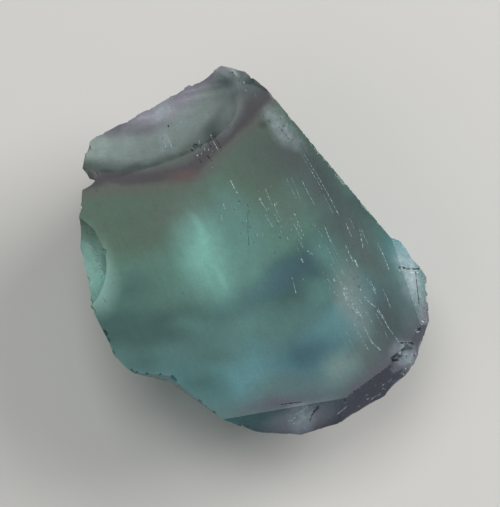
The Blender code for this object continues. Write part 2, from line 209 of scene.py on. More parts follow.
class FLUORITE_PG_colours(bpy.types.PropertyGroup):
    """Colours of the crystal's growth bands and clouds, with painted glow, painted shade and painted
    reflection among them
    """

    rim_lilac: colour_property("Rim lilac", "Outermost growth band", "#aeabb9")
    # a pale green band, and painted light where it lightens the thin hollow and a shaded spot in it
    pale_green_and_painted_light: colour_property("Pale green", "Band inside the lilac one", "#9fafab")
    valley_green: colour_property("Valley green", "Darker green beside the purple band", "#5f6d67")
    purple: colour_property("Purple", "The narrow purple band", "#403a43")
    brown_green: colour_property("Brown green", "Edge of the purple band", "#5f685d")
    olive: colour_property("Olive", "Band below the purple one", "#51755f")
    # partly painted glow: the soft edge of the painted glow in the middle, and paler patches elsewhere
    body_green: colour_property("Body green", "The middle of the stone", "#559280")
    blue: colour_property("Blue", "The blue band", "#016072")
    dark_green: colour_property("Dark green", "Where the blue band runs out to the left", "#0a5d59")
    rust: colour_property("Rust", "A stain in the purple band", "#684c45")
    # painted glow: the left facet painted bright, as if lit from inside
    glow: colour_property("Glow", "The bright facet at the left", "#c2f2e8")
    deep_green: colour_property("Deep green", "Below the blue band", "#48837f")
    teal: colour_property("Teal", "The lowest green band", "#5fa3aa")
    low_green: colour_property("Low green", "Between the teal and the lowest purple", "#5c8889")
    rim_purple: colour_property("Rim purple", "Lowest growth band", "#5c5e6c")
    # painted glow: a bright streak in the middle, painted as if light shone back from inside
    mint_painted_glow: colour_property("Mint", "The bright cloud left of the middle", "#94e3d3")
    haze_and_painted_glow: colour_property("Haze", "Round the bright cloud", "#67aaa1")
    # painted shade: darker grey on the facets that slope away at the top right, and in the cracks
    painted_shade_grey: colour_property("Smoke", "Grey clouds at the top right", "#3f4f53")
    # partly painted shade on the tilted facet on the right, and partly the grey of the bruises
    slate_and_painted_shade: colour_property("Slate", "Grey green of the tilted facet on the right", "#586e6a")
    straw: colour_property("Straw", "A yellowish cloud low on the right", "#8caeab")
    # the white of the bruises, and a painted reflection on the right corner facets
    frost_and_painted_glint: colour_property("Frost", "White bruises", "#c1d3db")
    # painted shade: the dark inside the open cracks and the dark ticks
    crack: colour_property("Crack", "Open cracks", "#1e2526")


class FLUORITE_PG_stage(bpy.types.PropertyGroup):
    """Sizes and colours of the stage"""

    floor_radius: length_property("Floor radius", "Radius of the round floor", 1500.0)
    camera_distance: length_property("Camera distance", "From the lens to the stone", 170.0)
    camera_elevation: FloatProperty(
        name="Camera elevation",
        description="Height above the horizon",
        default=math.radians(76.0),
        subtype="ANGLE",
    )
    floor: colour_property("Floor", "Plain pale floor", "#c8c6c2")
    sky: colour_property("Sky", "Light from all around", "#dfe4e8")
    sky_strength: FloatProperty(
        name="Sky strength", description="How bright the light from all around is", default=0.27, min=0.0
    )


def deselect_all():
    bpy.ops.object.select_all(action="DESELECT")


def make_active(obj):
    deselect_all()
    obj.select_set(True)
    bpy.context.view_layer.objects.active = obj


def in_frame(x, y, z):
    """A plan place in the frame, in metres."""
    return (Vector((x, y, z)) + SEAT) * MM


def add_node(tree, kind, links=None, stops=None, **settings):
    """Adds a node with its settings, its values and links, and the stops of its ramp. A colour is
    given by its red, green and blue."""
    made = tree.nodes.new(kind)
    for name, value in settings.items():
        setattr(made, name, value)
    for key, value in (links or {}).items():
        socket = made.inputs[key]
        if isinstance(value, bpy.types.NodeSocket):
            tree.links.new(value, socket)
        else:
            socket.default_value = (*value, 1.0) if socket.type == "RGBA" else value
    for index, (place, colour) in enumerate(stops or ()):
        elements = made.color_ramp.elements
        stop = elements[index] if index < 2 else elements.new(place)
        stop.position = place
        stop.color = (*colour, 1.0)
    return made


def millimetres(tree):
    """The place on the stone in plan millimetres."""
    place = add_node(tree, "ShaderNodeTexCoord").outputs["Object"]
    scale = 1.0 / MM
    mapping = add_node(
        tree, "ShaderNodeMapping", {"Vector": place, "Location": -SEAT, "Scale": (scale, scale, scale)}
    )
    return mapping.outputs["Vector"]


def plane_distance(tree, place, through, normal):
    """How far a place lies on the outer side of a growth plane, in mm."""
    offset = add_node(tree, "ShaderNodeVectorMath", {0: place, 1: through}, operation="SUBTRACT")
    unit = Vector(normal).normalized()
    along = add_node(
        tree, "ShaderNodeVectorMath", {0: offset.outputs["Vector"], 1: unit}, operation="DOT_PRODUCT"
    )
    return along.outputs["Value"]


CLOUD_DEPTH = 10.0  # mm that a cloud reaches down into the stone


def cloud_factor(tree, place, centre, sizes, turn, strength):
    """A soft cloud round a plan place: full in its middle, nothing at its edge."""
    inside = add_node(
        tree,
        "ShaderNodeMapping",
        {"Vector": place, "Location": (*centre, FACE_HEIGHT), "Rotation": (0, 0, math.radians(turn)),
         "Scale": (*sizes, CLOUD_DEPTH)},
        vector_type="TEXTURE",
    )
    ball = add_node(
        tree, "ShaderNodeTexGradient", {"Vector": inside.outputs["Vector"]}, gradient_type="SPHERICAL"
    )
    soft = add_node(
        tree,
        "ShaderNodeMapRange",
        {"Value": ball.outputs["Fac"], "To Max": strength},
        interpolation_type="SMOOTHSTEP",
    )
    return soft.outputs["Result"]


# The two growth planes that the bands follow: a plan place on each and its outward normal
LOW_GROWTH_PLANE = ((-14.0, 5.2, FACE_HEIGHT), (-0.08, 1.0, 0.25))
STEEP_GROWTH_PLANE = ((-4.5, 7.0, FACE_HEIGHT), (-1.067, 1.0, 0.3))
GROWTH_BEND = 3.0  # mm over which a band turns from one plane to the other

# Growth bands: distance outwards from the purple band in mm, and the colour there
BANDS = (
    (7.0, "rim_lilac"),
    (5.2, "rim_lilac"),
    (3.6, "pale_green_and_painted_light"),
    (2.4, "pale_green_and_painted_light"),
    (1.2, "valley_green"),
    (0.25, "purple"),
    (-0.25, "purple"),
    (-0.9, "brown_green"),
    (-2.2, "olive"),
    (-5.5, "olive"),
    (-8.5, "body_green"),
    (-10.2, "body_green"),
    (-13.0, "dark_green"),
    (-14.0, "dark_green"),
    (-16.0, "deep_green"),
    (-18.6, "teal"),
    (-21.8, "low_green"),
    (-24.4, "rim_purple"),
    (-27.0, "rim_purple"),
)

# Clouds of colour, painted glow, shade and reflection among them: colour, plan centre, half sizes, turn,
# strength
CLOUDS = (
    # painted shade: the tilted facet on the right painted greyer and darker
    ("slate_and_painted_shade", (10.2, -0.8), (3.4, 12.0), 31.0, 1.0),
    ("blue", (2.0, -4.1), (7.4, 2.3), 29.0, 1.0),
    # painted glow: a bright streak in the middle and its soft edge
    ("haze_and_painted_glow", (-2.3, -1.2), (6.6, 8.4), 20.0, 0.9),
    ("mint_painted_glow", (-4.2, -1.6), (3.2, 6.8), 22.0, 0.8),
    ("mint_painted_glow", (-4.6, 0.2), (0.7, 3.8), 24.0, 0.8),
    ("mint_painted_glow", (-3.0, -3.0), (0.5, 2.8), 24.0, 0.6),
    ("dark_green", (-4.4, -13.2), (4.6, 2.6), -22.0, 0.8),
    ("dark_green", (-9.4, -11.4), (2.6, 2.2), -40.0, 0.6),
    ("dark_green", (-10.8, -4.8), (5.2, 2.8), 8.0, 0.7),
    ("dark_green", (-3.6, -10.4), (3.0, 1.8), -10.0, 0.4),
    ("brown_green", (-6.6, 2.8), (4.0, 3.0), 10.0, 0.5),
    ("slate_and_painted_shade", (10.6, -10.4), (2.8, 2.8), 0.0, 0.8),
    # painted glow on the left facet
    ("glow", (-14.7, -2.9), (3.2, 5.6), 14.0, 1.0),
    # painted shade on the facets that slope away at the top right
    ("painted_shade_grey", (3.4, 7.6), (6.5, 5.0), -40.0, 0.8),
    ("painted_shade_grey", (-1.2, 14.6), (4.4, 3.0), -15.0, 0.8),
    ("painted_shade_grey", (6.4, 5.0), (3.2, 6.4), 32.0, 0.85),
    ("brown_green", (3.4, 2.6), (3.0, 3.0), 0.0, 0.45),
    # painted shade on the tilted facet at the right
    ("painted_shade_grey", (12.3, -7.7), (3.0, 5.8), 20.0, 0.9),
    ("crack", (-0.7, 10.8), (2.8, 1.2), 45.0, 0.35),
    ("crack", (-7.2, 5.4), (3.4, 1.0), 8.0, 0.3),
    ("pale_green_and_painted_light", (8.9, -5.4), (2.2, 5.6), 18.0, 0.75),
    ("pale_green_and_painted_light", (-2.0, 11.4), (1.4, 2.8), -25.0, 0.8),
    ("haze_and_painted_glow", (-0.6, -8.2), (7.2, 2.6), 18.0, 0.65),
    ("haze_and_painted_glow", (6.8, -1.4), (2.2, 3.6), 24.0, 0.7),
    ("haze_and_painted_glow", (5.8, -4.6), (2.2, 1.8), 0.0, 0.5),
    ("haze_and_painted_glow", (-1.3, 1.8), (2.5, 5.6), 25.0, 0.5),
    ("haze_and_painted_glow", (-5.0, -7.8), (3.2, 1.8), 0.0, 0.45),
    ("teal", (0.6, -11.2), (4.0, 3.4), 0.0, 0.7),
    ("blue", (4.9, -10.6), (4.6, 2.8), 25.0, 0.9),
    ("straw", (8.0, -11.8), (3.2, 2.2), 30.0, 0.8),
    # painted light: the thin hollow painted paler as if lit through, and its lower right lightened where
    # it falls in shade
    ("pale_green_and_painted_light", (-12.3, 8.0), (3.0, 2.4), 0.0, 0.75),
    ("pale_green_and_painted_light", (-4.6, 9.3), (1.6, 1.3), 30.0, 0.5),
    ("rust", (-6.1, 5.8), (2.2, 1.2), 20.0, 0.8),
    ("rim_purple", (-10.2, 10.5), (4.4, 1.0), 10.0, 0.7),
    ("rim_purple", (-12.2, 10.7), (2.8, 1.0), 30.0, 0.8),
    ("frost_and_painted_glint", (3.3, 9.8), (3.4, 1.5), -48.0, 0.7),
    ("frost_and_painted_glint", (1.8, 11.0), (1.6, 0.9), -30.0, 0.6),
    ("crack", (1.0, 10.3), (0.8, 0.5), -10.0, 0.7),
    ("frost_and_painted_glint", (-7.9, 12.1), (1.6, 1.2), 35.0, 0.8),
    ("frost_and_painted_glint", (-7.7, 9.5), (0.9, 1.5), 0.0, 0.5),
    # painted reflection: the right corner facets painted pale grey blue, as if they mirrored the sky
    ("frost_and_painted_glint", (14.2, -3.0), (1.6, 3.6), 10.0, 1.0),
    ("frost_and_painted_glint", (13.9, -10.6), (1.9, 1.8), -20.0, 1.0),
    ("frost_and_painted_glint", (14.0, -10.9), (1.4, 1.2), -40.0, 0.8),
    ("rim_purple", (12.6, -11.6), (2.0, 3.0), -50.0, 0.9),
    ("slate_and_painted_shade", (3.0, -13.2), (4.8, 1.6), 10.0, 0.6),
    ("rim_purple", (2.8, -15.0), (6.8, 1.8), 12.0, 0.9),
    ("rim_lilac", (4.4, -16.3), (5.0, 1.6), 20.0, 0.8),
    ("frost_and_painted_glint", (4.4, -16.0), (2.0, 1.5), 30.0, 1.0),
    ("pale_green_and_painted_light", (2.0, 12.9), (1.0, 0.5), -50.0, 0.7),
)


# Noise scales, in cells a millimetre
WAVER = 0.22  # the bands and clouds waver about every 4.5 mm
POWDER = 1.8  # a bruise is broken up into patches of about 0.6 mm
MOTTLE = 1.1  # cloudy patches of about 0.9 mm in the crystal
GRIT = 5.0  # grains of 0.2 mm, as fine as shows from where the stone is seen whole
SWELL = 0.3  # the broad face swells about every 3 mm
SPECK_CELLS = 0.35  # a dark speck about every 3 mm
BRUISE = 1.6  # a scratch is whiter and darker every 0.6 mm
CRACK_DEPTHS = 2.4  # a crack is deeper and shallower every 0.4 mm

WAVER_REACH = 2.2  # mm from side to side that a band wavers


def growth_colour(tree, place, colours):
    """The bands, bent round the edge between two growth planes, with the clouds over them, painted glow,
    shade and reflection among them.
    """
    wobble = add_node(tree, "ShaderNodeTexNoise", {"Vector": place, "Scale": WAVER, "Detail": 3.0})
    centred = add_node(
        tree,
        "ShaderNodeVectorMath",
        {0: wobble.outputs["Color"], 1: (-0.5, -0.5, -0.5)},
        operation="ADD",
    )
    scaled = add_node(
        tree,
        "ShaderNodeVectorMath",
        {0: centred.outputs["Vector"], "Scale": WAVER_REACH},
        operation="SCALE",
    )
    waved = add_node(
        tree, "ShaderNodeVectorMath", {0: place, 1: scaled.outputs["Vector"]}, operation="ADD"
    ).outputs["Vector"]
    low = plane_distance(tree, waved, *LOW_GROWTH_PLANE)
    steep = plane_distance(tree, waved, *STEEP_GROWTH_PLANE)
    nearest = add_node(tree, "ShaderNodeMath", {0: low, 1: steep, 2: GROWTH_BEND}, operation="SMOOTH_MIN")
    highest, lowest = BANDS[0][0], BANDS[-1][0]
    share = add_node(
        tree,
        "ShaderNodeMapRange",
        {"Value": nearest.outputs["Value"], "From Min": lowest, "From Max": highest},
    )
    stops = [
        ((distance - lowest) / (highest - lowest), getattr(colours, name))
        for distance, name in reversed(BANDS)
    ]
    ramp = add_node(tree, "ShaderNodeValToRGB", {"Fac": share.outputs["Result"]}, stops=stops)
    ramp.color_ramp.interpolation = "EASE"
    colour = ramp.outputs["Color"]
    broken = spread_noise(tree, place, POWDER, 4.0, 0.35, 1.15)
    for name, centre, sizes, turn, strength in CLOUDS:
        factor = cloud_factor(tree, waved, centre, sizes, turn, strength)
        if name == "frost_and_painted_glint":
            patchy = add_node(tree, "ShaderNodeMath", {0: factor, 1: broken}, operation="MULTIPLY")
            factor = patchy.outputs["Value"]
        over = {0: factor, 6: colour, 7: getattr(colours, name)}
        colour = add_node(tree, "ShaderNodeMix", over, data_type="RGBA").outputs[2]
    return colour


def spread_noise(tree, place, scale, detail, first, last):
    """Patches of noise from a first to a last value. Most of a noise lies from 0.3 to 0.7."""
    noise = add_node(tree, "ShaderNodeTexNoise", {"Vector": place, "Scale": scale, "Detail": detail})
    spread = add_node(
        tree,
        "ShaderNodeMapRange",
        {"Value": noise.outputs["Fac"], "From Min": 0.3, "From Max": 0.7, "To Min": first, "To Max": last},
    )
    return spread.outputs["Result"]


def drawn_out(tree, place, length, width):
    """The place counted in streaks along the scratches, of a length and a width in mm."""
    along = add_node(
        tree,
        "ShaderNodeMapping",
        {"Vector": place, "Rotation": (0, 0, math.radians(SCRATCH_RUN)), "Scale": (length, width, width)},
        vector_type="TEXTURE",
    )
    return along.outputs["Vector"]


def shaded(tree, colour, *factors):
    """A colour made lighter or darker by each factor."""
    for factor in factors:
        grey = add_node(tree, "ShaderNodeCombineColor", {key: factor for key in range(3)})
        both = {0: 1.0, 6: colour, 7: grey.outputs["Color"]}
        product = add_node(tree, "ShaderNodeMix", both, data_type="RGBA", blend_type="MULTIPLY")
        colour = product.outputs[2]
    return colour


def speck_factor(tree, place):
    """Dark specks sealed in the crystal, about 0.2 mm across: 0.65 in a speck, 1 outside."""
    cells = add_node(tree, "ShaderNodeTexVoronoi", {"Vector": place, "Scale": SPECK_CELLS})
    edge = add_node(
        tree,
        "ShaderNodeMapRange",
        {"Value": cells.outputs["Distance"], "From Min": 0.03, "From Max": 0.05, "To Min": 0.65},
    )
    return edge.outputs["Result"]


FLUORITE_IOR = 1.434
SEE_THROUGH = 0.55  # the share of the light that goes into the cloudy crystal
ABSORBED_COLOUR = (0.35, 0.72, 0.62)
ABSORPTION = 70.0  # a metre
SATIN = 0.42  # roughness of the broad face
GLASSY = 0.22  # roughness of the breaks


def fluorite_material(colours):
    """Natural fluorite, split by hand: cloudy glass with a satin cleavage face. The eye sees soft
    bands of colour inside it, and a brighter gloss on the fresh breaks than on the broad face."""
    material = bpy.data.materials.new("banded_green_fluorite")
    material.use_nodes = True
    tree = material.node_tree
    shader = tree.nodes["Principled BSDF"]
    place = millimetres(tree)
    # the base colour holds painted glow, painted shade and painted reflection among its clouds
    colour = shaded(
        tree,
        growth_colour(tree, place, colours),
        spread_noise(tree, place, MOTTLE, 6.0, 0.93, 1.07),
        spread_noise(tree, place, GRIT, 2.0, 0.93, 1.07),
        spread_noise(tree, drawn_out(tree, place, 9.0, 0.35), 1.0, 2.0, 0.97, 1.03),
        speck_factor(tree, place),
    )
    tree.links.new(colour, shader.inputs["Base Color"])
    # the broad face and its like are satin, the breaks glassy
    normal = add_node(tree, "ShaderNodeNewGeometry").outputs["Normal"]
    upward = add_node(tree, "ShaderNodeVectorMath", {0: normal, 1: UP}, operation="DOT_PRODUCT")
    satin = add_node(
        tree,
        "ShaderNodeMapRange",
        {"Value": upward.outputs["Value"], "From Min": 0.8, "From Max": 0.93,
         "To Min": GLASSY, "To Max": SATIN},
    )
    tree.links.new(satin.outputs["Result"], shader.inputs["Roughness"])
    grain = add_node(tree, "ShaderNodeTexNoise", {"Vector": place, "Scale": GRIT, "Detail": 4.0})
    fine = add_node(
        tree, "ShaderNodeBump", {"Height": grain.outputs["Fac"], "Strength": 0.35, "Distance": 0.02 * MM}
    )
    streaks = add_node(
        tree,
        "ShaderNodeTexNoise",
        {"Vector": drawn_out(tree, place, 5.0, 0.22), "Scale": 1.0, "Detail": 2.0},
    )
    drawn = add_node(
        tree,
        "ShaderNodeBump",
        {"Height": streaks.outputs["Fac"], "Strength": 0.2, "Distance": 0.02 * MM,
         "Normal": fine.outputs["Normal"]},
    )
    swell = add_node(tree, "ShaderNodeTexNoise", {"Vector": place, "Scale": SWELL, "Detail": 1.0})
    bump = add_node(
        tree,
        "ShaderNodeBump",
        {"Height": swell.outputs["Fac"], "Strength": 0.4, "Distance": 0.12 * MM,
         "Normal": drawn.outputs["Normal"]},
    )
    tree.links.new(bump.outputs["Normal"], shader.inputs["Normal"])
    shader.inputs["IOR"].default_value = FLUORITE_IOR
    shader.inputs["Transmission Weight"].default_value = SEE_THROUGH
    absorption = add_node(
        tree, "ShaderNodeVolumeAbsorption", {"Color": ABSORBED_COLOUR, "Density": ABSORPTION}
    )
    output = tree.nodes["Material Output"]
    tree.links.new(absorption.outputs["Volume"], output.inputs["Volume"])
    return material


def bruised_material(colours):
    """Fluorite crushed to powder along a scratch: dull and whitish, so a scratch shows pale."""
    material = bpy.data.materials.new("bruised_fluorite")
    material.use_nodes = True
    tree = material.node_tree
    shader = tree.nodes["Principled BSDF"]
    powder = spread_noise(tree, millimetres(tree), BRUISE, 3.0, 0.0, 0.8)
    colour = add_node(
        tree, "ShaderNodeMix", {0: powder, 6: colours.slate_and_painted_shade, 7: colours.frost_and_painted_glint}, data_type="RGBA"
    )
    tree.links.new(colour.outputs[2], shader.inputs["Base Color"])
    shader.inputs["Roughness"].default_value = 0.6
    shader.inputs["IOR"].default_value = FLUORITE_IOR
    return material


def crack_material(colours):
    """An open crack in fluorite, painted dark: its colour is painted shade, where light goes in and little
    comes back.
    """
    material = bpy.data.materials.new("painted_shade_fluorite_crack")
    material.use_nodes = True
    tree = material.node_tree
    shader = tree.nodes["Principled BSDF"]
    depths = add_node(
        tree,
        "ShaderNodeTexNoise",
        {"Vector": millimetres(tree), "Scale": CRACK_DEPTHS, "Detail": 2.0},
    )
    colour = add_node(
        tree,
        "ShaderNodeMix",
        {0: depths.outputs["Fac"], 6: colours.crack, 7: colours.painted_shade_grey},
        data_type="RGBA",
    )
    tree.links.new(colour.outputs[2], shader.inputs["Base Color"])
    shader.inputs["Roughness"].default_value = 0.5
    shader.inputs["IOR"].default_value = FLUORITE_IOR
    return material


def octahedron(name, material):
    """The form fluorite splits into, of radius 1: the start of every chip and scratch."""
    deselect_all()
    bpy.ops.mesh.primitive_uv_sphere_add(segments=4, ring_count=2, radius=1.0)
    made = bpy.context.active_object
    made.name = name
    made.data.materials.append(material)
    return made


def copy_of(prototype, place, collection):
    """A cutter: a copy of a prototype with its own mesh, put in place."""
    made = prototype.copy()
    made.data = prototype.data.copy()
    made.data.transform(place)
    collection.objects.link(made)
    return made


def laid_along(start, end, normal, half_width, half_depth):
    """The place of a unit octahedron stretched from start to end along a surface."""
    along = (end - start).normalized()
    out = (normal - along * normal.dot(along)).normalized()
    across = out.cross(along)
    half_axes = (along * (end - start).length / 2, across * half_width, out * half_depth)
    place = Matrix(half_axes).transposed().to_4x4()
    place.translation = (start + end) / 2
    return place


ABOVE = 40.0  # mm, well above the stone
OUTSIDE = 60.0  # mm, well outside the stone
LEAST_UP = 0.3  # upward part of the normal, short of which a place takes no fleck


def down_on(stone, x, y):
    """Where a plumb line at a plan place meets the stone, and the normal there, or nothing."""
    hit, point, normal, _ = stone.ray_cast(in_frame(x, y, ABOVE), -UP)
    return (point, normal) if hit and normal.z > LEAST_UP else None


STRAND = 1.2  # the weight that one strand of flecks carries
STRAND_GAP = 0.1  # mm between the strands of a heavy scratch
WANDER = 0.02  # mm that the end of a fleck may lie off its strand
OVERRUN = 0.15  # mm that a fleck may run past the end of its stretch


def chain_flecks(stone, rng, chains, length, half_width, half_depth, needle, collection):
    """Each scratch or crack is one or more strands of short flecks. The mean length of a fleck and
    its half sizes are in metres, and the chains in plan millimetres."""
    for points, weight in chains:
        strands = max(1, round(weight / STRAND))
        for strand in range(strands):
            offset = STRAND_GAP * (strand - (strands - 1) / 2)
            for first, second in zip(points, points[1:]):
                run = Vector(second) - Vector(first)
                beside = Vector((-run.y, run.x)).normalized()
                travelled = rng.uniform(0.0, 0.3) * (strands - 1)
                while travelled < run.length:
                    reach = rng.uniform(0.5, 1.5) * length / MM
                    start = Vector(first) + run.normalized() * travelled
                    end = start + run.normalized() * min(reach, run.length - travelled + OVERRUN)
                    travelled += reach * rng.uniform(0.5, 0.9)
                    start += beside * (offset + rng.uniform(-WANDER, WANDER))
                    end += beside * (offset + rng.uniform(-WANDER, WANDER))
                    wide = half_width * weight / strands * rng.uniform(0.6, 1.2)
                    lay_fleck(stone, start, end, wide, half_depth * weight / strands, needle, collection)


def lay_fleck(stone, start, end, half_width, half_depth, needle, collection):
    """Lays one fleck between two plan places. One that would hang past the rim is left out."""
    here, there = down_on(stone, *start), down_on(stone, *end)
    if here and there:
        place = laid_along(here[0], there[0], here[1], half_width, half_depth)
        copy_of(needle, place, collection)


# Where the hair scratches lie: plan centre, half sizes and turn
HAIR_FIELD = ((7.6, -0.6), (3.6, 8.0), 32.0)
HAIR_WEIGHT = 0.5


def hair_chains(rng, count):
    """Faint long scratches, each of three points, in the form of SCRATCHES."""
    centre, halves, turn = HAIR_FIELD
    turned = Matrix.Rotation(math.radians(turn), 2)
    for _ in range(count):
        spot = Vector((rng.uniform(-1, 1) * halves[0], rng.uniform(-1, 1) * halves[1]))
        start = Vector(centre) + turned @ spot
        points = [start]
        for _ in range(2):
            angle = math.radians(SCRATCH_RUN + rng.uniform(-5, 5))
            points.append(points[-1] + Vector((math.cos(angle), math.sin(angle))) * rng.uniform(0.4, 1.6))
        yield points, HAIR_WEIGHT * rng.uniform(0.7, 1.3)


# Where the short ticks lie: plan centre, half sizes, turn, the way they run and their share
TICK_FIELDS = (
    ((0.8, 1.6), (4.6, 3.0), -40.0, SCRATCH_RUN, 0.24),
    ((8.4, -3.6), (4.4, 2.6), -60.0, SCRATCH_RUN, 0.16),
    ((-4.2, 8.0), (1.9, 1.0), 30.0, SCRATCH_RUN, 0.11),
    ((3.0, 10.2), (2.8, 1.0), -48.0, SCRATCH_RUN, 0.13),
    ((-0.3, 14.4), (1.2, 0.8), -40.0, SCRATCH_RUN, 0.06),
    ((4.3, -15.9), (1.5, 0.6), 28.0, 38.0, 0.12),
    ((14.0, -10.6), (1.0, 1.4), 0.0, -18.0, 0.11),
    ((11.0, -14.1), (2.6, 0.5), 38.0, 38.0, 0.12),
)
TICK_SPREAD = 14.0  # degrees that a tick may lie off the way its field runs
# the dark ticks take the crack's painted shade
DARK_TICKS = 0.35  # the share of the ticks that are open and look dark


def tick_flecks(stone, rng, sizes, needle, splinter, collection):
    """Short ticks and pits in loose fields on the broad face and on the rim."""
    for centre, halves, turn, way, share in TICK_FIELDS:
        turned = Matrix.Rotation(math.radians(turn), 2)
        for _ in range(round(sizes.ticks * share)):
            spot = Vector((rng.gauss(0, 0.5) * halves[0], rng.gauss(0, 0.5) * halves[1]))
            start = Vector(centre) + turned @ spot
            angle = math.radians(way + rng.uniform(-TICK_SPREAD, TICK_SPREAD))
            end = start + Vector((math.cos(angle), math.sin(angle))) * rng.uniform(0.1, 0.6)
            wide = sizes.scratch_width * rng.uniform(0.4, 1.1)
            tool = splinter if rng.random() < DARK_TICKS else needle
            lay_fleck(stone, start, end, wide, sizes.scratch_depth, tool, collection)


# The edge between the bright left facet and the broad face, and the way its fine lines run
FEATHER_EDGE = ((-14.3, -0.5), (-13.4, -2.2), (-13.0, -4.0), (-13.1, -5.6))
FEATHER_RUN = -50.0  # degrees


def feather_flecks(stone, rng, sizes, needle, collection):
    """Fine lines that fan across the left facet and run out just past its edge."""
    spans = list(zip(FEATHER_EDGE, FEATHER_EDGE[1:]))
    for index in range(sizes.feathers):
        share = (index + rng.random()) / sizes.feathers * len(spans)
        first, second = spans[min(int(share), len(spans) - 1)]
        edge = Vector(first).lerp(Vector(second), share % 1.0)
        angle = math.radians(FEATHER_RUN + rng.uniform(-12, 12))
        along = Vector((math.cos(angle), math.sin(angle)))
        start = edge - along * rng.uniform(0.2, 1.2)
        end = start + along * rng.uniform(0.5, 1.4)
        lay_fleck(stone, start, end, sizes.scratch_width, sizes.scratch_depth, needle, collection)


def cleavage_turn():
    """Turns an octahedron from its poles to the stone's own planes, two of them level."""
    upright = Vector((1, 1, 1)).rotation_difference(Vector((0, 0, 1))).to_matrix()
    leaning = upright @ Vector((1, 1, -1))
    spin = FIRST_CLEAVAGE - math.atan2(leaning.y, leaning.x)
    return Matrix.Rotation(spin, 3, "Z") @ upright


STEEPEST = 0.75  # upward part of the normal, past which a place counts as top and not as side
RIM_TOP = 12.9  # mm, where the search for the rim starts
RIM_STEP = 0.1  # mm
RIM_STEPS = 40  # how many steps down the search takes


def side_at(stone, azimuth, height):
    """Where a level ray from outside meets a side, and the normal there, or nothing."""
    outward = Vector((math.cos(azimuth), math.sin(azimuth), 0.0))
    start = outward * OUTSIDE * MM + UP * height * MM
    hit, point, normal, _ = stone.ray_cast(start, -outward)
    return (point, normal) if hit and abs(normal.z) < STEEPEST else None


def rim_places(stone, rng, count, first, last):
    """Places along the stone's upper rim between two azimuths in degrees."""
    for index in range(count):
        azimuth = math.radians(first + (last - first) * (index + rng.random()) / count)
        for step in range(RIM_STEPS):
            found = side_at(stone, azimuth, RIM_TOP - step * RIM_STEP)
            if found:
                yield found
                break


# How far a notch reaches, against the mean: many are small and a few are large
SMALLEST_NOTCH = 0.25
LARGEST_NOTCH = 2.0
NOTCH_FALL = 1.2  # how fast the larger ones get rare


def rim_notches(stone, rng, sizes, chunk, collection):
    """Small notches that split off along the crystal's planes, all round the rim."""
    turn = cleavage_turn()
    for point, normal in rim_places(stone, rng, sizes.rim_notches, 0.0, 360.0):
        reach = sizes.rim_notch * min(LARGEST_NOTCH, SMALLEST_NOTCH + rng.expovariate(NOTCH_FALL))
        place = turn.to_4x4() @ Matrix.Scale(reach, 4)
        place.translation = point + (normal + UP * rng.uniform(-0.4, 0.8)) * reach * rng.uniform(0.3, 0.5)
        copy_of(chunk, place, collection)


# Where the rim is nicked white: azimuths from and to, in degrees, and the share of the nicks
NICK_STRETCHES = ((5.0, 70.0, 0.6), (-62.0, -18.0, 0.4))


def rim_nicks(stone, rng, sizes, needle, collection):
    """Pale nicks that lie along the rim."""
    for first, last, share in NICK_STRETCHES:
        for point, normal in rim_places(stone, rng, round(sizes.rim_nicks * share), first, last):
            along = normal.cross(UP).normalized() * rng.uniform(0.06, 0.28) * MM
            lean = UP * rng.uniform(-0.1, 0.1) * MM
            wide = sizes.scratch_width * rng.uniform(0.7, 1.5)
            ends = (point - along - lean, point + along + lean)
            place = laid_along(*ends, normal + UP, wide, sizes.scratch_depth)
            copy_of(needle, place, collection)


STEP_HEIGHTS = (0.4, 10.2)  # mm above the back between which the steps lie
LONGEST_STEP = 3.6  # how many times as long as wide a step may be


def cleavage_steps(stone, rng, sizes, chunk, collection):
    """Shallow steps on the sides, each with its floor along the nearest leaning plane and drawn
    out along the level line where that plane meets the broad face's own."""
    turn = cleavage_turn()
    planes = [turn @ Vector((x, y, z)).normalized() for x in (-1, 1) for y in (-1, 1) for z in (-1, 1)]
    leaning = [plane for plane in planes if abs(plane.z) < STEEPEST]
    for index in range(sizes.steps):
        azimuth = math.tau * (index + rng.random()) / sizes.steps
        found = side_at(stone, azimuth, rng.uniform(*STEP_HEIGHTS))
        if not found:
            continue
        point, normal = found
        plane = max(leaning, key=normal.dot)
        reach = sizes.step * rng.uniform(0.4, 1.7)
        depth = sizes.step_depth * rng.uniform(0.4, 1.6)
        drawn = Matrix.Scale(rng.uniform(1.0, LONGEST_STEP), 4, plane.cross(UP).normalized())
        place = drawn @ turn.to_4x4() @ Matrix.Scale(reach, 4)
        place.translation = point + plane * (reach / math.sqrt(3) - depth)
        copy_of(chunk, place, collection)


STONE = "fluorite_stone"


def cut_away(stone, collection, name):
    """Takes a collection of cutters from the stone, and the cutters with it."""
    make_active(stone)
    cut = stone.modifiers.new(name, "BOOLEAN")
    cut.operation = "DIFFERENCE"
    cut.operand_type = "COLLECTION"
    cut.collection = collection
    cut.solver = "EXACT"
    cut.material_mode = "TRANSFER"
    bpy.ops.object.modifier_apply(modifier=cut.name)
    for obj in list(collection.objects):
        bpy.data.objects.remove(obj)
    bpy.data.collections.remove(collection)


def keep_largest(stone):
    """Leaves out the crumbs that crossing cuts split off."""
    make_active(stone)
    bpy.ops.object.mode_set(mode="EDIT")
    bpy.ops.mesh.select_all(action="SELECT")
    bpy.ops.mesh.separate(type="LOOSE")
    bpy.ops.object.mode_set(mode="OBJECT")
    pieces = sorted(bpy.context.selected_objects, key=lambda piece: len(piece.data.vertices))
    kept = pieces.pop()
    for crumb in pieces:
        bpy.data.objects.remove(crumb)
    kept.name = STONE
    return kept


def cutters_named(name):
    collection = bpy.data.collections.new(name)
    bpy.context.scene.collection.children.link(collection)
    return collection


SAME_PLACE = 0.001 * MM  # corners nearer than this are one
SAME_PLANE = math.radians(0.1)  # faces that turn less than this are one


